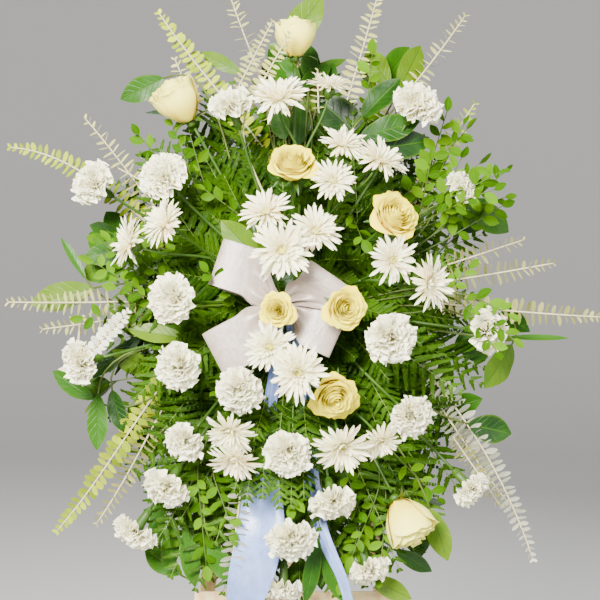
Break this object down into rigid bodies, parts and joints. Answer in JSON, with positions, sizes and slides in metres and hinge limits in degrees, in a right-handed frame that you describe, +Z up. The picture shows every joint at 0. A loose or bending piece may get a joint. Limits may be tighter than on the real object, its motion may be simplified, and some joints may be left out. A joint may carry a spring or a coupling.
{
  "type": "standing funeral spray on easel",
  "caption": "Fan of white and cream flowers and mixed foliage in a foam block, with a satin bow, hung on a folding wooden tripod easel.",
  "frame": {"origin": "on the floor, under the middle of the whole part's box", "axes": "+Z up; -Y towards the viewer, the side that the flowers face; +X to the viewer's right"},
  "size_m": [0.91, 0.8198, 1.6175],
  "materials": {
    "easel_wood": "planed pale wood, unvarnished",
    "bolt_steel": "plain zinc",
    "foam_tray": "moulded green plastic",
    "wet_foam": "soaked floral foam, fine open cells",
    "satin_ribbon": "white satin with a soft sheen",
    "rose_petals": "cream to pale yellow petals",
    "carnation_petals": "white ruffled petals",
    "chrysanthemum_petals": "white petals round a pale green middle",
    "eucalyptus_leaves": "waxy grey-green leaves",
    "lemon_leaves": "glossy leathery leaves",
    "fern_fronds": "mid green fronds",
    "huckleberry_leaves": "bright lime green leaves"
  },
  "bodies": {
    "front_frame": {"bow": "satin_ribbon", "carnation_below_bow": "carnation_petals", "carnation_bottom_left": "carnation_petals", "carnation_bottom_middle": "carnation_petals", "carnation_bottom_right": "carnation_petals", "carnation_far_left": "carnation_petals", "carnation_far_right": "carnation_petals", "carnation_left": "carnation_petals", "carnation_left_of_bow": "carnation_petals", "carnation_low_left": "carnation_petals", "carnation_low_middle": "carnation_petals", "carnation_lower_left": "carnation_petals", "carnation_lower_right": "carnation_petals", "carnation_mid_left": "carnation_petals", "carnation_outer_left": "carnation_petals", "carnation_outer_right": "carnation_petals", "carnation_right_edge": "carnation_petals", "carnation_right_of_bow": "carnation_petals", "carnation_top_left": "carnation_petals", "carnation_top_right": "carnation_petals", "carnation_under_middle": "carnation_petals", "carnation_under_right": "carnation_petals", "crossbar": "easel_wood", "eucalyptus_left": "eucalyptus_leaves", "eucalyptus_right": "eucalyptus_leaves", "eucalyptus_top": "eucalyptus_leaves", "fern_bottom": "fern_fronds", "fern_left": "fern_fronds", "fern_right": "fern_fronds", "foam_block": "wet_foam", "foam_tray": "foam_tray", "front_leg_left": "easel_wood", "front_leg_right": "easel_wood", "huckleberry_left": "huckleberry_leaves", "huckleberry_right": "huckleberry_leaves", "ledge": "easel_wood", "mums_left": "chrysanthemum_petals", "mums_lower_left": "chrysanthemum_petals", "mums_lower_right": "chrysanthemum_petals", "mums_over_bow": "chrysanthemum_petals", "mums_right": "chrysanthemum_petals", "mums_top": "chrysanthemum_petals", "mums_under_knot": "chrysanthemum_petals", "mums_upper_right": "chrysanthemum_petals", "pivot_bolt": "bolt_steel", "ribbon_tail_left": "satin_ribbon", "ribbon_tail_right": "satin_ribbon", "rose_above_bow": "rose_petals", "rose_below_bow": "rose_petals", "rose_beside_bow": "rose_petals", "rose_lower_right": "rose_petals", "rose_on_knot": "rose_petals", "rose_right": "rose_petals", "rose_top": "rose_petals", "rose_upper_left": "rose_petals", "salal_left": "lemon_leaves", "salal_right": "lemon_leaves", "salal_top": "lemon_leaves", "stop_rail": "easel_wood"},
    "rear_leg": {"rear_leg": "easel_wood"}
  },
  "joints": [
    {"name": "rear_leg_hinge", "type": "hinge", "parent": "front_frame", "child": "rear_leg", "pos_m": [-0.015, -0.02049, 1.46091], "axis": [-1, 0, 0], "range_deg": [0, 24]}
  ]
}
